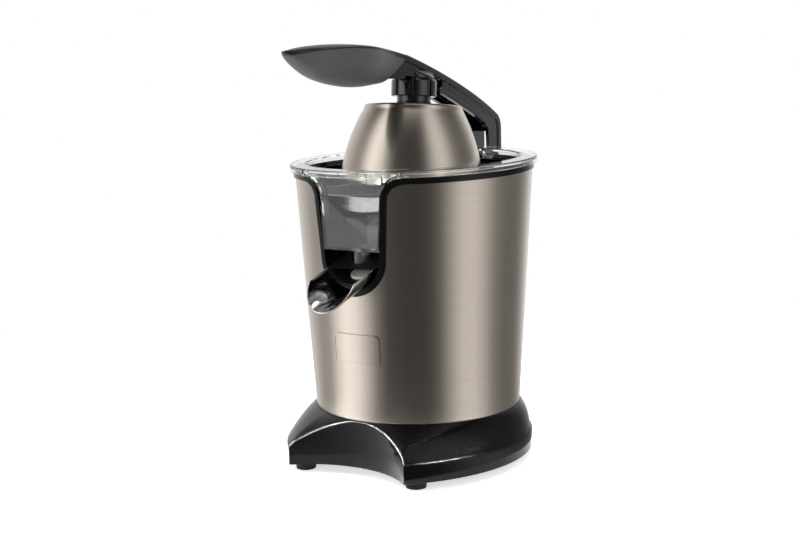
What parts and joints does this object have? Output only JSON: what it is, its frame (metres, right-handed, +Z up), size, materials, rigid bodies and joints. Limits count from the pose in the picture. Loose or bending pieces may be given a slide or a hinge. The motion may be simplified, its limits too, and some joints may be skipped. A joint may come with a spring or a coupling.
{
  "type": "lever-arm citrus press",
  "caption": "Lever-arm electric citrus press: hollowed base, tapered steel body, clear bowl over a fluted cone, pressing dome on a hinged arm with a leaf-shaped grip, and a drip-stop spout.",
  "frame": {"origin": "on the floor, under the middle of the overall box", "axes": "+Z up; -Y towards the front, where the spout and the grip point; +X across the arm, to the right for someone facing the press"},
  "size_m": [0.2028, 0.296, 0.3399],
  "materials": {
    "champagne_steel": "fine brushed, champagne tint",
    "polished_steel": "polished",
    "plain_steel": "plain",
    "gloss_black": "gloss",
    "satin_black": "satin",
    "soft_grey": "soft touch",
    "clear_plastic": "clear",
    "dark_rubber": "matt",
    "pale_silicone": "satin",
    "gear_plastic": "natural",
    "bronze": "sintered",
    "motor_metal": "varnished windings and plates"
  },
  "bodies": {
    "housing": {"base_housing": "gloss_black", "upper_housing": "gloss_black", "hinge_bracket": "gloss_black", "base_plate": "satin_black", "gearbox_plate": "satin_black", "gearbox_cover": "satin_black", "micro_switch": "satin_black", "foot_front_left": "dark_rubber", "foot_front_right": "dark_rubber", "foot_rear_left": "dark_rubber", "foot_rear_right": "dark_rubber", "cord_gland": "dark_rubber", "shaft_seal": "dark_rubber", "base_screw_1": "plain_steel", "base_screw_2": "plain_steel", "base_screw_3": "plain_steel", "base_screw_4": "plain_steel", "pulp_filter": "plain_steel", "bracket_screw_left": "plain_steel", "bracket_screw_right": "plain_steel", "hinge_pin": "plain_steel", "lay_pin": "plain_steel", "return_spring": "plain_steel", "motor_frame_top": "plain_steel", "motor_frame_bottom": "plain_steel", "spout_pin": "plain_steel", "body_shell": "champagne_steel", "badge_plate": "champagne_steel", "juice_bowl": "clear_plastic", "lower_bush": "bronze", "upper_bush": "bronze", "motor_stator": "motor_metal"},
    "arm": {"grip": "soft_grey", "arm_shell": "gloss_black", "lever_core": "satin_black", "dome_neck": "gloss_black", "press_dome": "champagne_steel", "dome_liner": "satin_black", "dome_screw": "plain_steel"},
    "collar": {"collar_nut": "gloss_black"},
    "spout": {"spout_trough": "polished_steel", "spout_carrier": "satin_black", "drip_pad": "pale_silicone"},
    "press": {"thrust_cup": "gear_plastic"},
    "plunger": {"switch_plunger": "gear_plastic"},
    "spindle": {"drive_shaft": "plain_steel", "reamer": "gloss_black"},
    "output": {"output_gear": "gear_plastic"},
    "lay": {"lay_gear": "gear_plastic"},
    "rotor": {"motor_rotor": "motor_metal", "motor_pinion": "bronze", "motor_fan": "satin_black"}
  },
  "joints": [
    {"name": "arm_hinge", "type": "hinge", "parent": "housing", "child": "arm", "pos_m": [0, 0.1373, 0.232], "axis": [-1, 0, 0], "range_deg": [0, 88]},
    {"name": "collar_twist", "type": "hinge", "parent": "arm", "child": "collar", "pos_m": [0, 0.0218, 0.299], "axis": [0, 0.0872, 0.9962], "range_deg": [0, 40]},
    {"name": "spout_tilt", "type": "hinge", "parent": "housing", "child": "spout", "pos_m": [0, -0.0447, 0.158], "axis": [-1, 0, 0], "range_deg": [0, 20]},
    {"name": "cone_press", "type": "slide", "parent": "housing", "child": "press", "axis": [0, 0, -1], "range_m": [0, 0.0025], "stiffness_N_per_m": 2000, "springref_m": -0.002, "deforming": ["return_spring"]},
    {"name": "plunger_slide", "type": "slide", "parent": "housing", "child": "plunger", "axis": [0, 0, -1], "range_m": [0, 0.0025]},
    {"name": "cone_spin", "type": "hinge", "parent": "press", "child": "spindle", "pos_m": [0, 0.0193, 0.15], "axis": [0, 0, 1], "continuous": true},
    {"name": "output_spin", "type": "hinge", "parent": "housing", "child": "output", "pos_m": [0, 0.0193, 0.15], "axis": [0, 0, 1], "continuous": true},
    {"name": "lay_spin", "type": "hinge", "parent": "housing", "child": "lay", "pos_m": [0, 0.0628, 0.15], "axis": [0, 0, 1], "continuous": true},
    {"name": "rotor_spin", "type": "hinge", "parent": "housing", "child": "rotor", "pos_m": [0.02314, 0.03522, 0.1], "axis": [0, 0, 1], "continuous": true}
  ],
  "couplings": [
    {"joint": "plunger_slide", "follows": "cone_press", "ratio": 1},
    {"joint": "lay_spin", "follows": "rotor_spin", "ratio": -0.2},
    {"joint": "output_spin", "follows": "rotor_spin", "ratio": 0.063636},
    {"joint": "cone_spin", "follows": "rotor_spin", "ratio": 0.063636}
  ]
}
